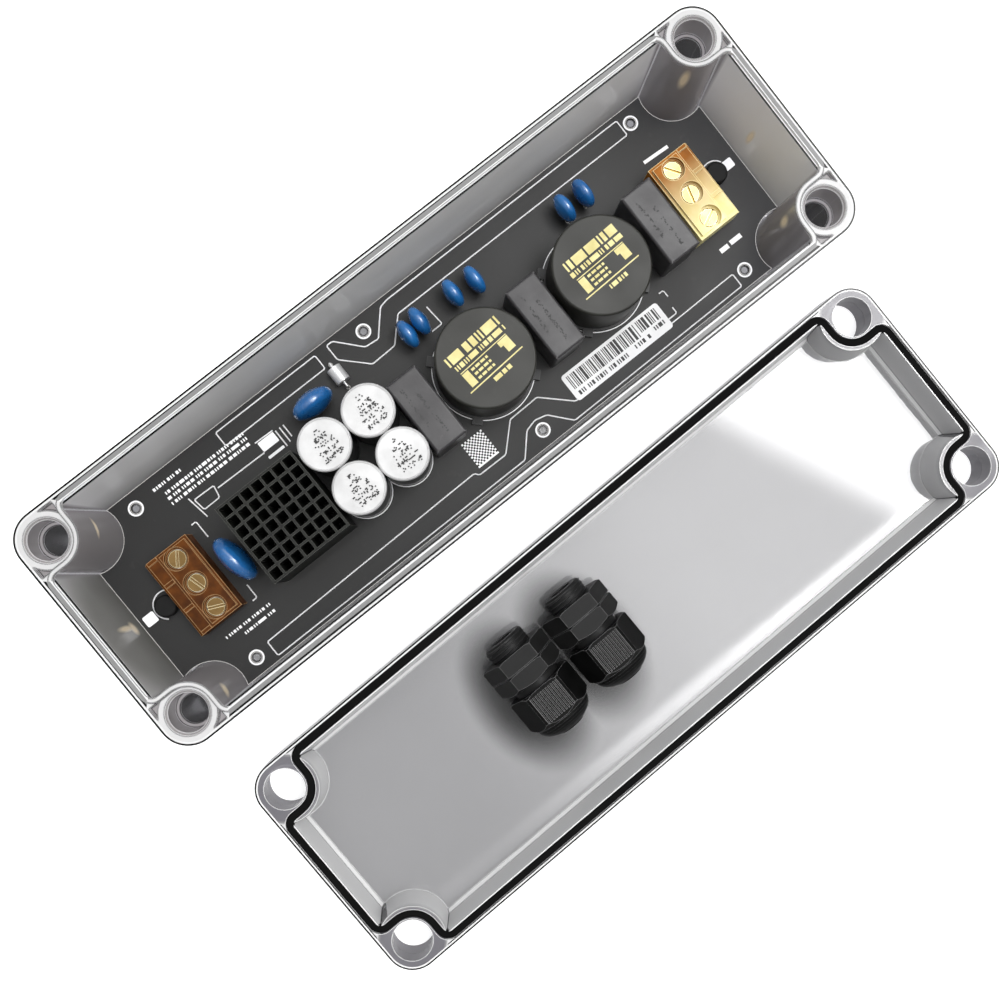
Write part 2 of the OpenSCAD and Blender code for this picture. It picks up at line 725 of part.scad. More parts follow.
module gland_locknut(n) color([0.13, 0.13, 0.14]) in_gland(n) translate([0, 0, thread_free]) difference() {
    union() {
        chamfered_hex(locknut_t - nut_face, 0.8, 0.3);
        cylinder(r = gland_flats / 2 - 0.5, h = locknut_t);
    }
    translate([0, 0, -over]) cylinder(d = thread_d + 0.1, h = locknut_t + 2 * over);
}

module gland_dome_nut(n) color([0.11, 0.11, 0.12]) in_gland(n) translate([0, 0, nut_z]) {
    r = gland_corner_r - 0.3;
    skirt = nut_l * 0.6;
    dome_r = gland_flats / 2 - 0.4;
    rise = nut_l - skirt - 1.6;
    difference() {
        intersection() {
            union() {
                linear_extrude(1.2) hexagon();
                translate([0, 0, 1.2]) linear_extrude(skirt - 1.2) ribbed_hexagon();
                translate([0, 0, skirt]) linear_extrude(nut_l - skirt) hexagon();
            }
            rotate_extrude() polygon(concat(
                [[0, 0], [r - 0.8, 0], [r, 0.6], [r, skirt], [dome_r, skirt + 1.6]],
                [for (a = [10:10:60]) [dome_r * cos(a), skirt + 1.6 + rise * sin(a)]],
                [[dome_r * 0.42, nut_l], [0, nut_l]]
            ));
        }
        translate([0, 0, -over]) cylinder(r = neck_r + 0.15, h = stem_l + over + 0.6);
        translate([0, 0, stem_l]) cylinder(r1 = seal_out_r + 0.3, r2 = cable_d / 2 + 0.5, h = nut_l - stem_l + eps);
        translate([0, 0, nut_l - over]) cylinder(d = cable_d + 1, h = 2 * over);
    }
}

module gland_seal(n) color([0.06, 0.06, 0.06]) in_gland(n) translate([0, 0, nut_z + 1]) difference() {
    union() {
        cylinder(r = seal_out_r - 0.05, h = stem_l - 1);
        translate([0, 0, stem_l - 1 - eps]) cylinder(r1 = seal_out_r - 0.05, r2 = cable_d / 2 + 0.9, h = 2.6);
    }
    translate([0, 0, -over]) cylinder(d = cable_d, h = nut_l);
}

enclosure_base();
enclosure_lid();
lid_gasket();
circuit_board();
solder_joints();
terminal_block(-1);  // terminal_block_left
terminal_cages(-1);  // terminal_cages_left
terminal_screws(-1);  // terminal_screws_left
terminal_block(1);  // terminal_block_right
terminal_cages(1);  // terminal_cages_right
terminal_screws(1);  // terminal_screws_right
disc_capacitor(0);  // disc_capacitor_1
disc_capacitor(1);  // disc_capacitor_2
disc_capacitor(2);  // disc_capacitor_3
disc_capacitor(3);  // disc_capacitor_4
disc_capacitor(4);  // disc_capacitor_5
disc_capacitor(5);  // disc_capacitor_6
disc_capacitor(6);  // disc_capacitor_7
disc_capacitor(7);  // disc_capacitor_8
electrolytic_can(0);  // electrolytic_can_1
electrolytic_can(1);  // electrolytic_can_2
electrolytic_can(2);  // electrolytic_can_3
electrolytic_can(3);  // electrolytic_can_4
grid_block();
choke_can(chokes[0]);  // choke_can_1
choke_base(chokes[0]);  // choke_base_1
choke_can(chokes[1]);  // choke_can_2
choke_base(chokes[1]);  // choke_base_2
film_capacitor(films[0]);  // film_capacitor_1
film_capacitor(films[1]);  // film_capacitor_2
film_capacitor(films[2]);  // film_capacitor_3
axial_part();
round_part(-1);  // round_part_left
round_part(1);  // round_part_right
gland_body(0);  // gland_1_body
gland_locknut(0);  // gland_1_locknut
gland_dome_nut(0);  // gland_1_dome_nut
gland_seal(0);  // gland_1_seal
gland_body(1);  // gland_2_body
gland_locknut(1);  // gland_2_locknut
gland_dome_nut(1);  // gland_2_dome_nut
gland_seal(1);  // gland_2_seal
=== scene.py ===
"""Mains interference filter: finishes, printing, gland threads, light and camera."""
import math
import bpy
from mathutils import Matrix, Vector


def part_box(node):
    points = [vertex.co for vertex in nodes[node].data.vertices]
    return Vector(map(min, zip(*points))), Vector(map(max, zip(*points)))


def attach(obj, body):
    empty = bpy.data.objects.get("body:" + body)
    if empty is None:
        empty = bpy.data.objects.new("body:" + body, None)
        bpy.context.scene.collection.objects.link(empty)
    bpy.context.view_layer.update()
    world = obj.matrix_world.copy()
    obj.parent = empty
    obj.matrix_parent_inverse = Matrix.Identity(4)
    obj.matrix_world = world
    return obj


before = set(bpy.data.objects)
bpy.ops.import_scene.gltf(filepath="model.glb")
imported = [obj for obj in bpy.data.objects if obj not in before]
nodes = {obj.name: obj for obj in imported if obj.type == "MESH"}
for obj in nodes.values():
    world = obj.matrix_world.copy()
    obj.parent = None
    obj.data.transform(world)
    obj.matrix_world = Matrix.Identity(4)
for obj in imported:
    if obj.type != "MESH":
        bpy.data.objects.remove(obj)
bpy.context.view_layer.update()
MM = 0.001


def centre_of(name):
    """Middle of a CAD node in mm."""
    low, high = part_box(name)
    return (low + high) / 2 / MM


def top_of(name):
    """Height of a CAD node's top in mm."""
    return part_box(name)[1].z / MM


BOARD_TOP = top_of("circuit_board")

# the two trays, in mm and degrees, where the finishes follow them
HALF_X, HALF_Y, CORNER = 125, 40, 9
COLUMN_X, COLUMN_Y = 116, 30.75
BASE_RIM = 43.7
LID_RIM = 13.5
LID_Y = -95.4
LID_TURN = 1.0


# Camera

# fitted to the photograph: place in mm, turns in degrees, lens and shift in pixels of a 1001 x 1001 picture
CAMERA_AT = (-28.831, -40.134, 345.749)
CAMERA_TILT = (1.977, 3.002, 38.654)
FOCAL_PX = 1063.568
PICTURE_PX = 1001.0
CENTRE_SHIFT_PX = (19.887, 37.398)


def add_camera():
    data = bpy.data.cameras.new("camera")
    data.sensor_width = 36.0
    data.lens = FOCAL_PX / PICTURE_PX * data.sensor_width
    data.shift_x = -CENTRE_SHIFT_PX[0] / PICTURE_PX
    data.shift_y = CENTRE_SHIFT_PX[1] / PICTURE_PX
    data.clip_start = 0.01
    data.clip_end = 20.0
    camera = bpy.data.objects.new("camera", data)
    bpy.context.scene.collection.objects.link(camera)
    rx, ry, rz = (math.radians(a) for a in CAMERA_TILT)
    turn = Matrix.Rotation(rz, 3, "Z") @ Matrix.Rotation(ry, 3, "Y") @ Matrix.Rotation(rx, 3, "X")
    right, down, ahead = (Vector(turn[0]), -Vector(turn[1]), -Vector(turn[2]))
    columns = Matrix((right, -down, -ahead)).transposed()
    camera.matrix_world = Matrix.Translation(Vector(CAMERA_AT) * MM) @ columns.to_4x4()
    bpy.context.scene.camera = camera


# Node helpers

class Net:
    """A node tree with short ways to add nodes; a value given to them is plain or another node's output."""

    def __init__(self, tree):
        self.tree = tree

    def feed(self, socket, value):
        if isinstance(value, bpy.types.NodeSocket):
            self.tree.links.new(value, socket)
        else:
            socket.default_value = value

    def add(self, kind, given=(), **settings):
        """Adds a node; given maps its inputs, by name or number, to values."""
        node = self.tree.nodes.new(kind)
        for key, value in settings.items():
            setattr(node, key, value)
        for key, value in dict(given).items():
            self.feed(node.inputs[key], value)
        return node

    def place(self):
        return self.add("ShaderNodeTexCoord").outputs["Object"]

    def normal(self):
        return self.add("ShaderNodeNewGeometry").outputs["Normal"]

    def axes(self, vector):
        return self.add("ShaderNodeSeparateXYZ", {0: vector}).outputs

    def noise(self, place, scale, detail, roughness=0.5):
        given = {"Vector": place, "Scale": scale, "Detail": detail, "Roughness": roughness}
        return self.add("ShaderNodeTexNoise", given).outputs["Fac"]

    def maths(self, operation, *values):
        return self.add("ShaderNodeMath", dict(enumerate(values)), operation=operation).outputs[0]

    def vector(self, operation, *values, result="Vector"):
        node = self.add("ShaderNodeVectorMath", dict(enumerate(values)), operation=operation)
        return node.outputs[result]

    def product(self, first, *others):
        for other in others:
            first = self.maths("MULTIPLY", first, other)
        return first

    def largest(self, first, *others):
        for other in others:
            first = self.maths("MAXIMUM", first, other)
        return first

    def ramp(self, source, low, high, start=0.0, end=1.0, smooth=False):
        """A value that goes from start to end while source goes from low to high."""
        given = {"Value": source, "From Min": low, "From Max": high, "To Min": start, "To Max": end}
        kind = "SMOOTHSTEP" if smooth else "LINEAR"
        return self.add("ShaderNodeMapRange", given, interpolation_type=kind).outputs[0]

    def mix(self, first, second, factor, kind="FLOAT"):
        given = {"A": first, "B": second, "Factor": factor}
        return self.add("ShaderNodeMix", given, data_type=kind).outputs["Result"]

    def between(self, first, second, factor):
        """The same, but a plain value where both ends are alike."""
        return first if first == second else self.mix(first, second, factor)

    def blend(self, first, second, factor):
        """Mixes two colours."""
        return self.mix(first, second, factor, "RGBA")


class Group(Net):
    """A node group: inputs and outputs are given as kinds of value by name."""

    def __init__(self, name, inputs, outputs):
        super().__init__(bpy.data.node_groups.new(name, "ShaderNodeTree"))
        for way, sockets in (("INPUT", inputs), ("OUTPUT", outputs)):
            for label, kind in sockets.items():
                self.tree.interface.new_socket(name=label, in_out=way, socket_type="NodeSocket" + kind)
        self.given = self.add("NodeGroupInput").outputs
        self.result = self.add("NodeGroupOutput").inputs

    def give(self, **results):
        for key, value in results.items():
            self.feed(self.result[key], value)
        return self.tree


class Shader(Net):
    """A material that starts as one Principled BSDF."""

    def __init__(self, name):
        self.material = bpy.data.materials.new(name)
        self.material.use_nodes = True
        super().__init__(self.material.node_tree)
        self.tree.nodes.clear()
        self.out = self.add("ShaderNodeOutputMaterial").inputs
        self.bsdf = self.add("ShaderNodeBsdfPrincipled")
        self.feed(self.out["Surface"], self.bsdf.outputs[0])

    def set(self, **values):
        for key, value in values.items():
            self.feed(self.bsdf.inputs[key.replace("_", " ")], value)

    def group(self, tree, **values):
        """Places a group and returns its outputs."""
        given = {key.replace("_", " "): value for key, value in values.items()}
        return self.add("ShaderNodeGroup", given, node_tree=tree).outputs

    def edged(self, color, edge):
        """Passes a colour on, with a painted edge line along the edges where edge is given: a painted
        highlight where the line is pale, painted shade where it is dark.
        """
        if not edge:
            return color
        line, width, amount = edge
        return self.group(PAINTED_EDGE_LINE, Color=color, Line=line, Width=width * MM, Amount=amount)["Color"]

    def bump(self, height, strength, distance):
        given = {"Strength": strength, "Distance": distance, "Height": height}
        self.set(Normal=self.add("ShaderNodeBump", given).outputs[0])


# Node groups

def moulded_surface_group():
    """Blotches of shade, drifting gloss and a fine grain for moulded and coated parts."""
    net = Group("moulded surface",
                {"Color": "Color", "Shade": "Color", "Patch Scale": "Float", "Grain Scale": "Float",
                 "Roughness": "Float", "Spread": "Float"},
                {"Color": "Color", "Roughness": "Float", "Height": "Float"})
    place = net.place()
    patch = net.ramp(net.noise(place, net.given["Patch Scale"], 3.0), 0.3, 0.7)
    return net.give(Color=net.blend(net.given["Color"], net.given["Shade"], patch),
                    Roughness=net.maths("MULTIPLY_ADD", patch, net.given["Spread"], net.given["Roughness"]),
                    Height=net.noise(place, net.given["Grain Scale"], 4.0))


def scuff_group():
    """Thin light scratches and specks of dust that sit over a surface colour."""
    net = Group("scuffs and dust", {"Color": "Color", "Mark": "Color", "Scale": "Float", "Amount": "Float"},
                {"Color": "Color", "Mask": "Float"})
    speck = net.ramp(net.noise(net.place(), net.given["Scale"], 6.0, 0.7), 0.60, 0.72)
    share = net.product(speck, net.given["Amount"])
    return net.give(Color=net.blend(net.given["Color"], net.given["Mark"], share), Mask=share)


def painted_edge_line_group():
    """A fine painted line of another shade along every edge: a painted highlight where it is pale, painted
    shade where it is dark.
    """
    net = Group("painted edge line", {"Color": "Color", "Line": "Color", "Width": "Float", "Amount": "Float"},
                {"Color": "Color", "Mask": "Float"})
    rounded = net.add("ShaderNodeBevel", {"Radius": net.given["Width"]}, samples=6).outputs["Normal"]
    agree = net.vector("DOT_PRODUCT", rounded, net.normal(), result="Value")
    share = net.product(net.ramp(agree, 0.998, 0.965), net.given["Amount"])
    return net.give(Color=net.blend(net.given["Color"], net.given["Line"], share), Mask=share)


def frosted_flat_group():
    """Masks of all faces that look up, and of those at or above a level, such as a rim."""
    net = Group("frosted flat", {"Place": "Vector", "Level": "Float", "Amount": "Float"},
                {"Mask": "Float", "Up": "Float"})
    up = net.ramp(net.axes(net.normal())["Z"], 0.9, 0.98)
    high = net.maths("GREATER_THAN", net.axes(net.given["Place"])["Z"], net.given["Level"])
    return net.give(Mask=net.product(up, high, net.given["Amount"]), Up=up)


def inner_cloud_and_painted_shade_group():
    """Faces that look inwards are cloudier, and carry painted shade: darker at Low Level and paler at High
    Level.
    """
    net = Group("inner cloud and painted shade",
                {"Place": "Vector", "Low Color": "Color", "High Color": "Color", "Low Level": "Float",
                 "High Level": "Float", "Amount": "Float"},
                {"Color": "Color", "Mask": "Float"})
    place = net.given["Place"]
    level = net.vector("MULTIPLY", place, (1.0, 1.0, 0.0))
    outward = net.vector("DOT_PRODUCT", level, net.normal(), result="Value")
    inward = net.maths("LESS_THAN", outward, -0.004)
    # painted shade: the inner walls are darker towards the bottom and paler towards the rim
    climb = net.ramp(net.axes(place)["Z"], net.given["Low Level"], net.given["High Level"])
    # noise moves the climb by up to a quarter either way, so that no level shows as a line
    waver = net.maths("MULTIPLY_ADD", net.noise(place, 45.0, 2.0), 0.5, climb)
    climb = net.maths("ADD", waver, -0.25)
    return net.give(Color=net.blend(net.given["Low Color"], net.given["High Color"], climb),
                    Mask=net.product(inward, net.given["Amount"]))


def rim_distance_group():
    """How far a point lies inside the edge of a tray with rounded corners; Place is from its middle."""
    net = Group("rim distance",
                {"Place": "Vector", "Half X": "Float", "Half Y": "Float", "Corner": "Float"},
                {"Inside": "Float"})
    place = net.axes(net.given["Place"])
    corner = net.given["Corner"]
    over = []
    for axis, key in (("X", "Half X"), ("Y", "Half Y")):
        size = net.maths("ABSOLUTE", place[axis])
        over.append(net.maths("SUBTRACT", size, net.maths("SUBTRACT", net.given[key], corner)))
    squares = [net.maths("POWER", net.maths("MAXIMUM", part, 0.0), 2.0) for part in over]
    away = net.maths("SQRT", net.maths("ADD", *squares))
    within = net.maths("MINIMUM", net.maths("MAXIMUM", *over), 0.0)
    return net.give(Inside=net.maths("SUBTRACT", corner, net.maths("ADD", away, within)))


def spot_group():
    """Soft-edged mask of an egg-shaped region, for a painted reflection, painted shade or painted light in
    clear plastic.
    """
    net = Group("spot", {"Place": "Vector", "Middle": "Vector", "Half Size": "Vector"}, {"Mask": "Float"})
    off = net.vector("SUBTRACT", net.given["Place"], net.given["Middle"])
    length = net.vector("LENGTH", net.vector("DIVIDE", off, net.given["Half Size"]), result="Value")
    return net.give(Mask=net.ramp(length, 1.0, 0.35, smooth=True))


def column_group():
    """Mask that is high near the four upright columns at (+-Half X, +-Half Y)."""
    net = Group("column haze", {"Place": "Vector", "Half X": "Float", "Half Y": "Float", "Radius": "Float"},
                {"Mask": "Float"})
    place = net.axes(net.given["Place"])
    squares = []
    for axis, key in (("X", "Half X"), ("Y", "Half Y")):
        off = net.maths("SUBTRACT", net.maths("ABSOLUTE", place[axis]), net.given[key])
        squares.append(net.maths("POWER", net.maths("ABSOLUTE", off), 2.0))
    away = net.maths("SQRT", net.maths("ADD", *squares))
    radius = net.given["Radius"]
    return net.give(Mask=net.ramp(away, net.product(radius, 0.9), radius, 1.0, 0.0))


MOULDED = moulded_surface_group()
SCUFFED = scuff_group()
PAINTED_EDGE_LINE = painted_edge_line_group()
FROSTED = frosted_flat_group()
CLOUDED_WITH_PAINTED_SHADE = inner_cloud_and_painted_shade_group()
RIM_DISTANCE = rim_distance_group()
SPOT = spot_group()
COLUMN = column_group()


# Finishes

GRAIN_DEPTH = 0.08 * MM
MOULD_DEPTH = 0.1 * MM


def grey(level):
    return level, level, level, 1.0


def in_metres(values):
    return tuple(v * MM for v in values)


def look(color, shade, rough, metal=0.0, coat=0.0):
    """One end of a banded finish."""
    return color, shade, rough, metal, coat


def surface(name, color, shade, rough=0.45, spread=0.12, patch=60.0, grain=2500.0, bump=0.15,
            metal=0.0, coat=0.0, scuff=0.0, edge=None, gloss=0.5):
    """A solid finish with patches of shade, grain and, where asked, scuffs and edge lines.

    edge is (colour of the painted edge line, width in mm, amount); a pale line is a painted highlight, a
    dark one painted shade.
    """
    s = Shader(name)
    body = s.group(MOULDED, Color=color, Shade=shade, Patch_Scale=patch, Grain_Scale=grain,
                   Roughness=rough, Spread=spread)
    shown = body["Color"]
    if scuff:
        mark = tuple(min(1.0, c * 2.2 + 0.02) for c in color[:3]) + (1.0,)
        shown = s.group(SCUFFED, Color=shown, Mark=mark, Scale=220.0, Amount=scuff)["Color"]
    s.set(Base_Color=s.edged(shown, edge), Roughness=body["Roughness"], Metallic=metal,
          Coat_Weight=coat, Coat_Roughness=0.05, Specular_IOR_Level=gloss)
    s.bump(body["Height"], bump, GRAIN_DEPTH)
    return s


def banded(name, axis, level, soft, low, high, edge=None, gloss=0.5):
    """A finish that goes from the look low to the look high along one axis, at a level in mm."""
    s = Shader(name)
    climb = s.ramp(s.axes(s.place())[axis], (level - soft) * MM, (level + soft) * MM)
    color, shade = (s.blend(a, b, climb) for a, b in zip(low[:2], high[:2]))
    rough, metal, coat = (s.between(a, b, climb) for a, b in zip(low[2:], high[2:]))
    body = s.group(MOULDED, Color=color, Shade=shade, Patch_Scale=150.0, Grain_Scale=1800.0,
                   Roughness=rough, Spread=0.1)
    s.set(Base_Color=s.edged(body["Color"], edge), Roughness=body["Roughness"], Metallic=metal,
          Coat_Weight=coat, Coat_Roughness=0.04, Specular_IOR_Level=gloss)
    s.bump(body["Height"], 0.15, GRAIN_DEPTH)
    return s


def painted_rim_lines(s, place, lines):
    """Colour of the fine lines of painted highlight and painted shade inside a tray's edge, and masks of
    all of them and the outermost two.
    """
    inside = s.group(RIM_DISTANCE, Place=place, Half_X=HALF_X * MM, Half_Y=HALF_Y * MM,
                     Corner=CORNER * MM)["Inside"]
    reach = lines[-1][0]
    steps = s.add("ShaderNodeValToRGB", {"Fac": s.maths("DIVIDE", inside, reach * MM)})
    steps.color_ramp.interpolation = "CONSTANT"
    first, second = steps.color_ramp.elements
    first.color = grey(lines[0][1])
    second.position = lines[1][0] / reach
    second.color = grey(lines[1][1])
    for distance, level in lines[2:-1]:
        steps.color_ramp.elements.new(distance / reach).color = grey(level)
    near_edge, outermost = (s.maths("LESS_THAN", inside, d * MM) for d in (reach, lines[2][0]))
    return steps.outputs["Color"], near_edge, outermost


def lit_behind(s, shown, shadow_tint):
    """Lets lamp light pass straight through a clear part, so that what lies behind it stays lit."""
    path = s.add("ShaderNodeLightPath").outputs
    through = s.add("ShaderNodeBsdfTransparent", {"Color": shadow_tint})
    blind = s.maths("MAXIMUM", path["Is Shadow Ray"], path["Is Diffuse Ray"])
    mix = s.add("ShaderNodeMixShader", {"Fac": blind, 1: shown, 2: through.outputs[0]})
    s.feed(s.out["Surface"], mix.outputs[0])


def clear_plastic(name, tint, shadow_tint, thick_tint, density, rough, flat_line, wall_line, width, frost,
                  cloud, columns, lines, shade, bore=None, glints=(), middle=(0, 0, 0), turn=0.0):
    """Clear moulded plastic that darkens with its thickness. Everything is in mm from the tray's middle.

    Painted edge lines are flat_line on level faces and wall_line on the others; pale ones are painted
    highlights, dark ones painted shade.
    frost is (colour, level, amount) of the faces that look up at the rim.
    cloud is (low colour, high colour, low level, high level, amount) of the inner walls: their haze, with
    painted shade that is darker low down and paler high up.
    columns is (radius, colour, amount, share of the frost kept) of the screw columns.
    lines are (distance from the outer edge, grey) steps of painted highlight and painted shade on the rim;
    the last one ends them.
    shade are (middle, half size, colour, blend, cover) of places with painted shade where they are darker
    and painted light where they are paler.
    bore is (radius, colour) of painted shade inside the columns' bores.
    glints are (middle, half size) of painted warm reflections of the terminal blocks.
    """
    s = Shader(name)
    body = s.group(MOULDED, Color=tint, Shade=tuple(c * 0.94 for c in tint[:3]) + (1,), Patch_Scale=14.0,
                   Grain_Scale=160.0, Roughness=rough, Spread=0.02)
    s.set(Transmission_Weight=1.0, IOR=1.5, Base_Color=body["Color"], Roughness=body["Roughness"])
    s.bump(body["Height"], 0.01, MOULD_DEPTH)

    centred = s.vector("SUBTRACT", s.place(), in_metres(middle))
    turned = {"Vector": centred, "Angle": math.radians(-turn)}
    place = s.add("ShaderNodeVectorRotate", turned, rotation_type="Z_AXIS").outputs[0]

    def near_columns(radius):
        return s.group(COLUMN, Place=place, Half_X=COLUMN_X * MM, Half_Y=COLUMN_Y * MM,
                       Radius=radius * MM)["Mask"]

    def spot(at, half):
        return s.group(SPOT, Place=place, Middle=in_metres(at), Half_Size=in_metres(half))["Mask"]

    frost_color, frost_level, frost_amount = frost
    rim = s.group(FROSTED, Place=place, Level=frost_level * MM, Amount=frost_amount)
    inner = s.group(CLOUDED_WITH_PAINTED_SHADE, Place=place, Low_Color=cloud[0], High_Color=cloud[1], Low_Level=cloud[2] * MM,
                    High_Level=cloud[3] * MM, Amount=cloud[4])
    column_radius, column_color, column_amount, frost_kept = columns
    column = near_columns(column_radius)

    color = inner["Color"]
    painted_spots = []
    # painted shade and painted light at set places
    for at, half, tone, strength, cover in shade:
        mask = spot(at, half)
        color = s.blend(color, tone, s.maths("MINIMUM", s.product(mask, strength), 1.0))
        painted_spots.append(s.product(mask, cover))
    color = s.blend(color, column_color, column)
    # painted shade inside the columns' bores
    if bore:
        color = s.blend(color, bore[1], near_columns(bore[0]))
    # painted warm reflections of the terminal blocks
    for at, half in glints:
        painted_spots.append(spot(at, half))
        color = s.blend(color, PAINTED_GLINT_COLOR, painted_spots[-1])
    kept = s.maths("SUBTRACT", 1.0, s.product(column, 1.0 - frost_kept))
    frosty = s.product(rim["Mask"], kept)
    color = s.blend(color, frost_color, frosty)
    # painted edge lines: painted highlights where pale, painted shade where dark
    line = s.blend(wall_line, flat_line, rim["Up"])
    edge = s.group(PAINTED_EDGE_LINE, Color=color, Line=line, Width=width * MM, Amount=0.95)

    # painted highlights and painted shade lines on the rim
    line_color, near_edge, outermost = painted_rim_lines(s, place, lines)
    beside = s.maths("SUBTRACT", 1.0, s.maths("GREATER_THAN", column, 0.01))
    lined = s.product(rim["Up"], near_edge, s.maths("MAXIMUM", outermost, beside))
    hazy = s.add("ShaderNodeBsdfPrincipled",
                 {"Base Color": s.blend(edge["Color"], line_color, lined), "Roughness": 0.25,
                  "Transmission Weight": 0.15, "IOR": 1.3})
    share = s.largest(frosty, lined, inner["Mask"], s.product(column, column_amount), edge["Mask"], *painted_spots)
    haze = s.add("ShaderNodeMixShader", {"Fac": share, 1: s.bsdf.outputs[0], 2: hazy.outputs[0]})
    lit_behind(s, haze.outputs[0], shadow_tint)
    depth = s.add("ShaderNodeVolumeAbsorption", {"Color": thick_tint, "Density": density})
    s.feed(s.out["Volume"], depth.outputs[0])
    return s


# colour of the painted warm reflections of the terminal blocks
PAINTED_GLINT_COLOR = (1.0, 0.86, 0.62, 1)
TINNED = look(grey(0.62), grey(0.5), 0.25, metal=1.0)

# painted shade makes the left end wall darker, and painted light makes the right one and the far long wall
# paler
PAINTED_WALL_SHADE_AND_LIGHT = [((-121, 0, 20), (6, 45, 50), (0.13, 0.127, 0.105, 1), 0.85, 0.0),
              ((121, 0, 18), (6, 45, 50), (0.99, 0.975, 0.94, 1), 0.85, 0.0),
              ((0, 37, 24), (170, 7, 40), (0.99, 0.985, 0.975, 1), 0.6, 0.0)]
# painted shadow: it is dark under the glands
PAINTED_GLAND_SHADOW = [((body.x - 5, body.y - LID_Y - 6.5, 3), (21, 31.8, 12), grey(0.02), 12.0, 0.8)
               for body in (centre_of("gland_1_body"), centre_of("gland_2_body"))]
# painted reflections: the terminal blocks shine in the walls and columns beside them
PAINTED_END_GLINTS = [((-106.8, 28.1, 30), (2.8, 4.2, 1.5)), ((-120.4, 0.8, 23), (3, 1.4, 9)),
              ((-120.4, 0.2, 17), (3, 3.0, 3.5)), ((-106.6, -31.9, 33), (3, 3, 3)),
              ((109.2, 24.5, 37), (2.5, 1.6, 7)), ((120.5, 0.9, 24), (3, 1.5, 6)),
              ((107.8, -26.4, 35), (2.5, 2, 4.5))]

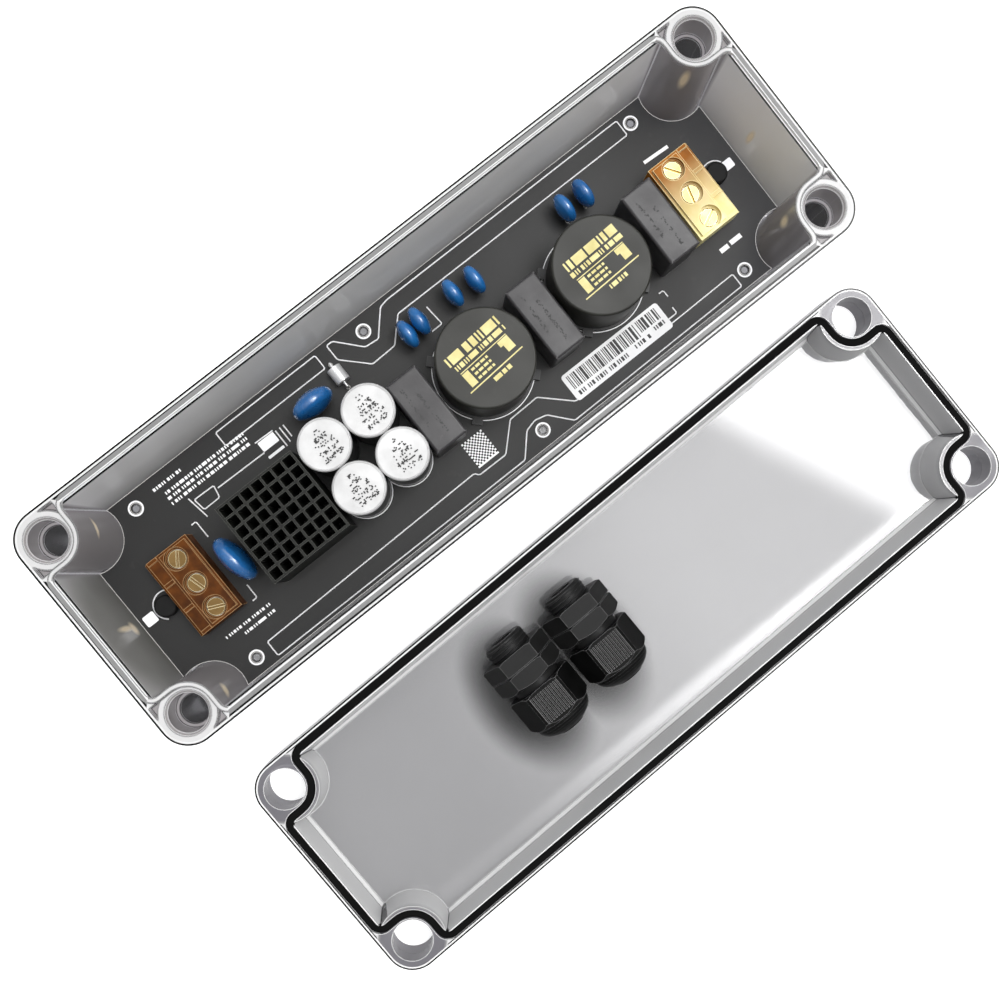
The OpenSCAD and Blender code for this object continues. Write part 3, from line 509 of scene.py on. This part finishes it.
# each edge given below is a painted edge line: a painted highlight where pale, painted shade where dark
FINISH = {
    "box": clear_plastic(
        "clear polycarbonate", (0.72, 0.72, 0.73, 1), (0.93, 0.93, 0.95, 1), (0.30, 0.29, 0.34, 1), 16.0,
        rough=0.10, flat_line=grey(0.004), wall_line=grey(0.95), width=0.8,
        frost=(grey(0.80), BASE_RIM, 0.9),
        cloud=((0.24, 0.236, 0.222, 1), (0.98, 0.975, 0.955, 1), 5, 28, 0.88),
        columns=(11.4, (0.34, 0.32, 0.32, 1), 0.8, 1.0),
        lines=((0, 0.002), (0.55, 0.8), (1.1, 0.004), (1.7, 0.26), (2.9, 0.85), (3.5, 0.01), (4.1, 0)),
        shade=PAINTED_WALL_SHADE_AND_LIGHT, bore=(4.7, grey(0.05)), glints=PAINTED_END_GLINTS),
    "lid": clear_plastic(
        "clear lid polycarbonate", grey(0.70), (0.88, 0.88, 0.89, 1), (0.30, 0.297, 0.31, 1), 160.0,
        rough=0.03, flat_line=grey(0.92), wall_line=grey(0.006), width=0.5,
        frost=(grey(0.85), LID_RIM, 0.8), cloud=(grey(0.95), grey(1.0), 3, 12, 0.85),
        columns=(11, (0.27, 0.262, 0.29, 1), 0.6, 0.0),
        lines=((0, 0.003), (0.5, 0.9), (0.95, 0.02), (1.3, 0)),
        shade=PAINTED_GLAND_SHADOW, middle=(0, LID_Y, 0), turn=LID_TURN),
    "gasket": surface("gasket foam", grey(0.003), grey(0.006), rough=0.8, grain=4200, bump=0.5, gloss=0.08),
    "board": surface("black solder mask", (0.007, 0.007, 0.0068, 1), (0.013, 0.0126, 0.012, 1), rough=0.42,
                     spread=0.1, patch=35, grain=900, bump=0.05, scuff=0.2, gloss=0.35,
                     edge=((0.85, 0.83, 0.78, 1), 0.34, 0.95)),
    "solder": surface("solder", grey(0.62), grey(0.45), rough=0.28, metal=1.0, bump=0.2),
    "amber": surface("amber plastic", (0.125, 0.036, 0.003, 1), (0.05, 0.014, 0.0015, 1), rough=0.35,
                     patch=300, bump=0.1, gloss=0.1, edge=((0.55, 0.33, 0.15, 1), 0.3, 0.8)),
    # painted light: the right terminal block is a paler, lit copy of the amber plastic, palest towards its
    # -Y end
    "amber_painted_light": banded("golden plastic", "Y", -2, 11, look((1.0, 0.95, 0.58, 1), (0.95, 0.82, 0.34, 1), 0.35),
                     look((0.42, 0.14, 0.006, 1), (0.24, 0.075, 0.004, 1), 0.35), gloss=0.12,
                     edge=((0.95, 0.84, 0.45, 1), 0.3, 0.85)),
    "steel": surface("plated steel", grey(0.55), grey(0.42), rough=0.3, metal=1.0),
    # painted shade makes the screws of the left block darker, and painted light makes those of the right
    # block paler
    "brass": banded("brass screw with painted shade and light", "X", 0, 1,
                    look((0.22, 0.13, 0.04, 1), (0.14, 0.08, 0.02, 1), 0.3, metal=0.6),
                    look((0.80, 0.62, 0.20, 1), (0.60, 0.40, 0.10, 1), 0.3, metal=0.7),
                    edge=((0.9, 0.8, 0.5, 1), 0.24, 0.8)),
    "blue": banded("blue epoxy coating", "Z", BOARD_TOP + 1.2, 0.15, TINNED,
                   look((0.016, 0.15, 0.42, 1), (0.010, 0.10, 0.30, 1), 0.2, coat=1.0), gloss=0.7),
    "can": banded("can with black sleeve", "Z", 35.0, 0.08, look(grey(0.012), grey(0.02), 0.3, coat=0.3),
                  look(grey(0.66), grey(0.54), 0.42, metal=0.15), edge=(grey(0.3), 0.3, 0.4)),
    "fins": surface("black anodised grid", (0.012, 0.0135, 0.0105, 1), grey(0.009), rough=0.5, scuff=0.15,
                    gloss=0.22, edge=((0.30, 0.31, 0.27, 1), 0.12, 0.5)),
    "choke": surface("smooth choke can", (0.021, 0.021, 0.017, 1), (0.015, 0.015, 0.012, 1), rough=0.42,
                     grain=3000, bump=0.08, scuff=0.1, gloss=0.42),
    "black": surface("black moulding", grey(0.008), grey(0.014), rough=0.4, edge=(grey(0.10), 0.2, 0.6)),
    "film": surface("grey film box", (0.052, 0.050, 0.052, 1), (0.034, 0.032, 0.034, 1), rough=0.36,
                    patch=120, bump=0.12, scuff=0.2, edge=(grey(0.24), 0.35, 0.6)),
    "silvery": surface("silvery body", grey(0.80), grey(0.60), rough=0.3, metal=0.5,
                       edge=(grey(0.1), 0.2, 0.6)),
    "rubber": surface("black rubber", grey(0.006), grey(0.010), rough=0.5, patch=150, grain=3500, bump=0.2,
                      gloss=0.15, edge=(grey(0.10), 0.2, 0.5)),
    "nylon": surface("black nylon", grey(0.010), grey(0.016), rough=0.34, patch=150, grain=3500, bump=0.25,
                     gloss=0.12, edge=(grey(0.22), 0.2, 0.75)),
    "ribbed": surface("ribbed nylon", grey(0.003), grey(0.006), rough=0.3, patch=150, grain=3500, bump=0.25,
                      gloss=0.06, edge=(grey(0.42), 0.115, 0.85)),
    "print": surface("white board print", grey(0.95), grey(0.85), rough=0.6, patch=250),
    "gold": surface("pale gold print", (0.76, 0.68, 0.30, 1), (0.62, 0.54, 0.20, 1), rough=0.4, patch=300),
    "ink": surface("dark print", grey(0.02), grey(0.05), rough=0.6),
    "paper": surface("label paper", grey(0.88), grey(0.76), rough=0.6, patch=90),
}

# the finish of each CAD node, by the start of its name
NODE_FINISH = {
    "enclosure_base": "box", "enclosure_lid": "lid", "lid_gasket": "gasket", "circuit_board": "board",
    "solder_joints": "solder", "terminal_block_left": "amber", "terminal_block_right": "amber_painted_light",
    "terminal_cages": "steel", "terminal_screws": "brass", "disc_capacitor": "blue",
    "electrolytic_can": "can", "grid_block": "fins", "choke_can": "choke", "choke_base": "black",
    "film_capacitor": "film", "axial_part": "silvery", "round_part": "rubber",
    "gland_1_seal": "gasket", "gland_2_seal": "gasket",
    "gland_1_dome_nut": "ribbed", "gland_2_dome_nut": "ribbed", "gland_": "nylon",
}


def finish_nodes():
    for name, node in nodes.items():
        finish = next(f for start, f in NODE_FINISH.items() if name.startswith(start))
        node.data.materials.clear()
        node.data.materials.append(FINISH[finish].material)


# Modelling helpers

PRINT_THICK = 0.03
FINE_THICK = 0.02
LINE = 0.5


def deselect():
    if bpy.context.object and bpy.context.object.mode != "OBJECT":
        bpy.ops.object.mode_set(mode="OBJECT")
    bpy.ops.object.select_all(action="DESELECT")


def make_active(piece):
    deselect()
    piece.select_set(True)
    bpy.context.view_layer.objects.active = piece


def settle(piece, name, finish):
    """Names a finished piece, puts its place into its mesh and fixes it to the product."""
    make_active(piece)
    bpy.ops.object.transform_apply(location=True, rotation=True, scale=True)
    piece.name = name
    piece.data.name = name
    piece.data.materials.clear()
    piece.data.materials.append(FINISH[finish].material)
    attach(piece, "root")


def join(pieces):
    make_active(pieces[0])
    for piece in pieces:
        piece.select_set(True)
    bpy.ops.object.join()
    return bpy.context.object


def thicken(piece, thick, offset=-1.0):
    """Gives a flat piece its thickness, behind its faces or, with offset 1, in front of them."""
    wall = piece.modifiers.new("wall", "SOLIDIFY")
    wall.thickness = thick * MM
    wall.offset = offset
    bpy.ops.object.modifier_apply(modifier="wall")


def eased(points, closed, radius):
    """Cuts each corner of a line so that the ribbon keeps its width round it."""
    count = len(points)
    result = []
    for i, point in enumerate(points):
        here = Vector(point)
        if not closed and i in (0, count - 1):
            result.append(here)
            continue
        for other in (Vector(points[i - 1]), Vector(points[(i + 1) % count])):
            step = other - here
            result.append(here + step.normalized() * min(radius, step.length * 0.4))
    return result


def printed_lines(name, lines):
    """Flat printed lines on the board: each is (points in mm, closed)."""
    curve = bpy.data.curves.new(name, "CURVE")
    curve.dimensions = "3D"
    curve.bevel_depth = LINE / 2 * MM
    curve.bevel_resolution = 0
    curve.use_fill_caps = True
    for points, closed in lines:
        path = eased(points, closed, LINE * 0.8)
        spline = curve.splines.new("POLY")
        spline.points.add(len(path) - 1)
        for dot, p in zip(spline.points, path):
            dot.co = (p[0] * MM, p[1] * MM, 0, 1)
        spline.use_cyclic_u = closed
    piece = bpy.data.objects.new(name, curve)
    bpy.context.scene.collection.objects.link(piece)
    make_active(piece)
    bpy.ops.object.convert(target="MESH")
    piece = bpy.context.object
    piece.scale = (1, 1, PRINT_THICK / (LINE / 2))
    piece.location = (0, 0, BOARD_TOP * MM)
    settle(piece, name, "print")


def plate(x0, y0, x1, y1, z, columns=1, rows=1, keep=None, thick=PRINT_THICK, turn=0.0, corner=0.0):
    """A thin printed plate in mm; keep(i, j) says which of its cells stay."""
    deselect()
    bpy.ops.mesh.primitive_grid_add(x_subdivisions=columns, y_subdivisions=rows, size=1)
    piece = bpy.context.object
    if keep:
        bpy.ops.object.mode_set(mode="EDIT")
        bpy.ops.mesh.select_mode(type="FACE")
        bpy.ops.mesh.select_all(action="DESELECT")
        bpy.ops.object.mode_set(mode="OBJECT")
        for face in piece.data.polygons:
            i = int((face.center.x + 0.5) * columns)
            j = int((face.center.y + 0.5) * rows)
            face.select = not keep(i, j)
        bpy.ops.object.mode_set(mode="EDIT")
        bpy.ops.mesh.delete(type="FACE")
        bpy.ops.mesh.select_mode(type="VERT")
        bpy.ops.object.mode_set(mode="OBJECT")
    piece.scale = ((x1 - x0) * MM, (y1 - y0) * MM, 1)
    piece.rotation_euler = (0, 0, math.radians(turn))
    piece.location = ((x0 + x1) / 2 * MM, (y0 + y1) / 2 * MM, (z + thick) * MM)
    bpy.ops.object.transform_apply(location=True, rotation=True, scale=True)
    if corner:
        bpy.ops.object.mode_set(mode="EDIT")
        bpy.ops.mesh.select_all(action="SELECT")
        bpy.ops.mesh.bevel(offset=corner * MM, segments=3, affect="VERTICES")
        bpy.ops.object.mode_set(mode="OBJECT")
    thicken(piece, thick)
    return piece


def ring(x, y, inner, outer, steps=32):
    """A flat printed ring on the board, in mm."""
    deselect()
    at = (x * MM, y * MM, (BOARD_TOP + PRINT_THICK) * MM)
    bpy.ops.mesh.primitive_circle_add(vertices=steps, radius=outer * MM, location=at)
    piece = bpy.context.object
    bpy.ops.object.mode_set(mode="EDIT")
    bpy.ops.mesh.select_all(action="SELECT")
    bpy.ops.mesh.extrude_edges_move()
    bpy.ops.transform.resize(value=(inner / outer, inner / outer, 1))
    bpy.ops.mesh.select_all(action="SELECT")
    bpy.ops.mesh.normals_make_consistent(inside=False)
    bpy.ops.object.mode_set(mode="OBJECT")
    thicken(piece, PRINT_THICK, -1.0 if piece.data.polygons[0].normal.z > 0 else 1.0)
    return piece


# Printing on the board

def scattered(seed, share):
    """Tells of each cell (i, j) of a plate whether it stays, with no visible order."""
    return lambda i, j: (math.sin(i * 12.9898 + j * 78.233 + seed * 37.719) * 43758.5453) % 1.0 < share


def barred(seed, share):
    """The same for a row of bars: even in the long run, with no two gaps alike."""
    return lambda i, j: (i * 0.618034 + math.sin(i * 0.9 + seed) * 0.21 + seed * 0.37) % 1.0 < share


def dash_row(x0, x1, y, height, seed):
    """A row of tiny plain marks."""
    count = int((x1 - x0) * 2.4)
    return plate(x0, y - height / 2, x1, y + height / 2, BOARD_TOP, count, 1, barred(seed, 0.6))


def arc(x, y, radius, start, end):
    """Points of an arc in mm, from one angle to another."""
    turns = [math.radians(start + (end - start) * k / 16) for k in range(17)]
    return [(x + radius * math.cos(a), y + radius * math.sin(a)) for a in turns], False


def board_print():
    outlines = [
        [(-65, 27.7), (-26, 27.7), (-26, 32.8), (-65, 32.8)],
        [(-21.3, 33), (-19, 33), (-12, 25.3), (-7.2, 24.8), (-0.5, 32.2), (2.5, 32.8), (95.3, 32.8),
         (95.3, 27.2), (2.5, 27.2), (-4.5, 20), (-13.5, 19.7), (-21.3, 27.5)],
        [(-93, -27.8), (-10, -26.8), (-9, -28.2), (1.5, -28.3), (9.5, -20.5), (20.5, -20.2),
         (29.5, -28.8), (94.5, -28.2), (94.5, -33), (25.5, -33.4), (19.5, -26.5), (15.5, -25.5),
         (11.5, -26.5), (5.2, -33.4), (-93, -33.2)],
        [(-83, 20.6), (-75.6, 20.4), (-76.4, 16.4), (-82.4, 16.3)],
    ]
    strokes = [
        [(-88.5, 15), (-86.8, 15), (-86.8, 9)],
        [(-86.8, -10), (-86.8, -15), (-88.5, -15)],
        [(-75, 19), (-57, 18.7)],
        [(-84.2, 22), (-83, 14)],
        [(-50.2, 22), (-50.2, 16)],
        [(-48.6, 22), (-48.6, 16.5)],
        [(-47.2, 22), (-47.2, 17.5)],
        [(10.9, 23.4), (11.5, 16.3), (7.5, 16.3)],
        [(71.8, -18.5), (73.5, -18.5), (73.5, -21)],
        [(69, -26.8), (72.5, -26.8), (72.5, -24.5)],
        [(-57.5, 22.8), (-50.8, 22.6)],
    ]
    arcs = [arc(-109.3, 0.3, 4.55, 45, 235), arc(110, 0, 4.5, 28, 140)]
    printed_lines("board_outline_print", [(points, True) for points in outlines]
                  + [(points, False) for points in strokes] + arcs)

    holes = ((-98.5, 29.5), (98.5, 29.5), (-98.5, -29.5), (98.5, -29.5), (-9.4, 29.5), (15.6, -29.5))
    rings = [ring(x, y, 1.9, 2.45) for x, y in holes]
    for can in (centre_of("electrolytic_can_3"), centre_of("electrolytic_can_4")):
        rings.append(ring(can.x, can.y, 8.1, 8.4))
    for name in ("choke_base_1", "choke_base_2"):
        low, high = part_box(name)
        reach = max(high.x - low.x, high.y - low.y) / 2 / MM + 0.3
        rings.append(ring(centre_of(name).x, centre_of(name).y, reach, reach + 0.3, steps=96))
    blocks = [plate(*box, BOARD_TOP, corner=corner) for box, corner in (
        ((-118.3, -1.8, -114.3, 1.8), 0.5), ((113.6, -1.4, 117.2, 1.8), 0.5),
        ((-57, 18.9, -51, 22.3), 0.3), ((-57, 16.1, -51, 17), 0.2),
        ((95.9, -21.0, 99.2, -19.4), 0), ((100.1, -20.8, 104.5, -19.2), 0))]
    blocks.append(plate(94, 16.2, 103.4, 17.3, BOARD_TOP, turn=-3))
    rows = [dash_row(*row) for row in (
        (-91, -80.5, 30.5, 1.0, 1), (-89, -58.5, 27.5, 1.0, 2), (-89, -58.5, 25.7, 1.0, 3),
        (-89, -58.5, 23.8, 1.0, 4), (-102, -85, -19, 0.9, 6), (-97, -85, -21.5, 0.9, 7))]
    checks = plate(-7.7, -26.5, 0.3, -17.2, BOARD_TOP, 13, 15, lambda i, j: (i + j) % 2 == 0 or j == 0)
    settle(join(rings + blocks + rows + [checks]), "board_block_print", "print")


def board_label():
    """White paper label with rows of plain bars."""
    left, right, low, high = 30.2, 69.2, -29.5, -19.9
    under, paper = 0.04, 0.08
    label = plate(left, low, right, high, BOARD_TOP + under, thick=paper, corner=1.0)
    settle(label, "board_label", "paper")
    rows = (((left + 1.4, low + 3.7, right - 10.5, high - 1), 90, barred(3, 0.52)),
            ((right - 9.5, low + 4.6, right - 1.4, high - 1), 25, barred(8, 0.5)),
            ((left + 1.4, low + 1.2, right - 17, low + 2.7), 50, barred(5, 0.5)),
            ((right - 14, low + 1.6, right - 7, low + 3.0), 16, barred(6, 0.5)),
            ((right - 6, low + 2.4, right - 1.6, low + 3.8), 10, barred(7, 0.5)))
    bars = [plate(*box, BOARD_TOP + under + paper, count, 1, keep) for box, count, keep in rows]
    settle(join(bars), "board_label_bars", "ink")


# Printing on the parts

def choke_print(index, turn):
    """Plain pale gold bars on the top of a choke."""
    node = "choke_can_%d" % index
    c, z = centre_of(node), top_of(node)
    a = math.radians(turn)

    def bar(x0, y0, x1, y1, columns=1, rows=1, keep=None):
        mx, my = (x0 + x1) / 2, (y0 + y1) / 2
        px = c.x + mx * math.cos(a) - my * math.sin(a)
        py = c.y + mx * math.sin(a) + my * math.cos(a)
        hw, hh = (x1 - x0) / 2, (y1 - y0) / 2
        return plate(px - hw, py - hh, px + hw, py + hh, z, columns, rows, keep, FINE_THICK, turn)

    bars = [
        bar(-9.8, 4.6, 10.2, 7.6, 32, 1, barred(turn, 0.74)),
        bar(-9.4, 2.3, 10.4, 3.9, 44, 1, barred(turn + 3, 0.7)),
        bar(-8.8, -4.0, -6.4, 0.8),
        bar(-8.8, 1.1, 9.2, 1.4),
        bar(6.4, -3.4, 9.2, 0.9),
        bar(5.4, -0.9, 6.4, 0.9),
        bar(-5.6, -3.6, 0.8, 0.4, 16, 5, lambda i, j: j % 2 == 0 and i % 5 != 3),
        bar(-10.4, -5.1, 10.4, -4.7),
        bar(-2.4, -7.4, 4.2, -6.0, 14, 1, barred(turn + 4, 0.7)),
    ]
    settle(join(bars), "choke_%d_print" % index, "gold")


def can_print(index):
    """Rows of specks on the top of a can: (width, distance from the middle)."""
    node = "electrolytic_can_%d" % index
    c, z = centre_of(node), top_of(node)
    rows = []
    for row, (wide, y) in enumerate(((2.0, 4.4), (4.4, 2.2), (6.2, 0.2), (7.6, -2.0), (7.0, -4.2))):
        rows.append(plate(c.x - wide / 2 + 0.4, c.y + y - 0.75, c.x + wide / 2 + 0.4, c.y + y + 0.75, z,
                          int(wide * 2.6), 4, scattered(row * 5 + index, 0.3), FINE_THICK))
    settle(join(rows), "can_%d_marks" % index, "ink")


def film_print(index):
    """Two columns of specks on the top of a film capacitor: (distance from the middle, from, to)."""
    node = "film_capacitor_%d" % index
    c, z = centre_of(node), top_of(node)
    rows = []
    for row, (dx, low, high) in enumerate(((-2.4, -4.5, 9.0), (0.9, -9.5, 5.5))):
        rows.append(plate(c.x + dx - 0.55, c.y + low, c.x + dx + 0.55, c.y + high, z, 3,
                          int((high - low) * 2.4), scattered(row * 3 + index, 0.3), FINE_THICK))
    settle(join(rows), "film_%d_marks" % index, "ink")


# Cable gland threads

THREAD_RADIUS = 6.86
THREAD_PITCH = 1.35
THREAD_TURNS = 3.0
RIDGE = 0.42


def gland_thread(index):
    """Helical ridge on the free end of a gland's thread."""
    low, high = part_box("gland_%d_body" % index)
    lock_low, lock_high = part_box("gland_%d_locknut" % index)
    deselect()
    bpy.ops.mesh.primitive_circle_add(vertices=3, radius=RIDGE * MM, rotation=(math.pi / 2, 0, 0))
    piece = bpy.context.object
    piece.location = (THREAD_RADIUS * MM, 0, 0)
    bpy.ops.object.transform_apply(location=True, rotation=True, scale=True)
    screw = piece.modifiers.new("thread", "SCREW")
    screw.axis = "Z"
    screw.angle = math.tau * THREAD_TURNS
    screw.screw_offset = THREAD_PITCH * MM * THREAD_TURNS
    screw.steps = int(48 * THREAD_TURNS)
    screw.render_steps = screw.steps
    bpy.ops.object.modifier_apply(modifier="thread")
    bpy.ops.object.mode_set(mode="EDIT")
    bpy.ops.mesh.select_all(action="SELECT")
    bpy.ops.mesh.normals_make_consistent(inside=False)
    bpy.ops.object.mode_set(mode="OBJECT")
    end = Vector(((lock_low.x + lock_high.x) / 2 - 0.2 * MM, high.y - 0.9 * MM, (low.z + high.z) / 2))
    turn = Matrix.Rotation(math.radians(LID_TURN), 4, "Z") @ Matrix.Rotation(math.pi / 2, 4, "X")
    piece.matrix_world = Matrix.Translation(end) @ turn
    settle(piece, "gland_%d_thread" % index, "nylon")


# Floor and light

TABLE_TONE, FAR_TONE = 0.80, 0.05
TONE_FADE = (0.24, 0.55)
CAMERA_LIFT, MIRROR_LIFT = 0.55, 0.15


def floor():
    """White table, dark beyond the object, lifted to white for the camera and a little in reflections."""
    deselect()
    bpy.ops.mesh.primitive_plane_add(size=6, location=(0, 0, -0.0002))
    piece = bpy.context.object
    piece.name = "floor"
    s = Shader("white table")
    away = s.vector("LENGTH", s.place(), result="Value")
    tone = s.ramp(away, *TONE_FADE, TABLE_TONE, FAR_TONE, smooth=True)
    color = s.add("ShaderNodeCombineColor", {"Red": tone, "Green": tone, "Blue": tone})
    s.set(Roughness=0.9, Base_Color=color.outputs[0])
    path = s.add("ShaderNodeLightPath").outputs
    mirrored = s.maths("ADD", path["Is Transmission Ray"], path["Is Glossy Ray"])
    direct = s.product(path["Is Camera Ray"], CAMERA_LIFT)
    lift = s.maths("ADD", direct, s.product(mirrored, tone, MIRROR_LIFT))
    glow = s.add("ShaderNodeEmission", {"Strength": lift})
    both = s.add("ShaderNodeAddShader", {0: s.bsdf.outputs[0], 1: glow.outputs[0]})
    s.feed(s.out["Surface"], both.outputs[0])
    piece.data.materials.append(s.material)


# Each lamp is a product of fades (direction, from, to, start, end), and the ceiling one by height.
# The directions are slopes from the object: east and north, and across and along the turned softbox.
LAMPS = {
    "broad glow": (("east", -0.15, 0.18, 0.0, 5.3), ("north", -0.06, 0.10, 1.0, 0.3),
                   ("east", 0.5, 0.8, 1.0, 0.0), ("north", -0.6, -0.4, 0.0, 1.0)),
    "softbox": (("across", 0.200, 0.240, 0.0, 14.0), ("across", 0.50, 0.53, 1.0, 0.0),
                ("along", 0.14, 0.17, 0.0, 1.0), ("along", 0.385, 0.41, 1.0, 0.0)),
    "strip light": (("north", -0.247, -0.241, 14.0, 0.0), ("north", -0.262, -0.254, 0.0, 1.0),
                    ("east", -0.15, 0.20, 0.1, 1.0), ("east", 0.5, 0.6, 1.0, 0.0)),
    "side glow": (("east", 0.12, 0.40, 0.0, 2.6), ("north", -0.03, 0.03, 0.0, 1.0),
                  ("east", 0.6, 0.8, 1.0, 0.0), ("north", 0.30, 0.45, 1.0, 0.0)),
    "tube": (("north", 0.055, 0.062, 0.0, 12.0), ("north", 0.088, 0.095, 1.0, 0.0),
             ("east", -0.5, -0.45, 0.0, 1.0), ("east", 0.6, 0.65, 1.0, 0.0)),
}
SOFTBOX_TURN = (0.909, 0.416)  # cosine and sine
CEILING = (0.0, 0.85, 0.06, 0.85)
LOWEST = 0.02


def light():
    """A dark room with a pale ceiling and the lamps; the camera itself sees plain white."""
    world = bpy.data.worlds.new("studio")
    bpy.context.scene.world = world
    world.use_nodes = True
    net = Net(world.node_tree)
    net.tree.nodes.clear()
    sky = net.axes(net.add("ShaderNodeTexCoord").outputs["Generated"])
    height = net.maths("MAXIMUM", sky["Z"], LOWEST)
    east, north = (net.maths("DIVIDE", sky[axis], height) for axis in ("X", "Y"))
    cos, sin = SOFTBOX_TURN
    slopes = {"east": east, "north": north,
              "across": net.maths("ADD", net.product(east, cos), net.product(north, sin)),
              "along": net.maths("SUBTRACT", net.product(east, sin), net.product(north, cos))}
    total = net.ramp(sky["Z"], *CEILING)
    for fades in LAMPS.values():
        lamp = net.product(*(net.ramp(slopes[way], *fade, smooth=True) for way, *fade in fades))
        total = net.maths("ADD", total, lamp)
    seen = net.add("ShaderNodeLightPath").outputs["Is Camera Ray"]
    shine = net.add("ShaderNodeBackground", {"Strength": net.mix(total, 1.0, seen)})
    net.add("ShaderNodeOutputWorld", {"Surface": shine.outputs[0]})


# Build

add_camera()
finish_nodes()
board_print()
board_label()
choke_print(1, 4.0)
choke_print(2, 2.0)
for number in (1, 2, 3, 4):
    can_print(number)
for number in (1, 2, 3):
    film_print(number)
for number in (1, 2):
    gland_thread(number)
floor()
light()
bpy.context.scene.view_settings.view_transform = "Standard"
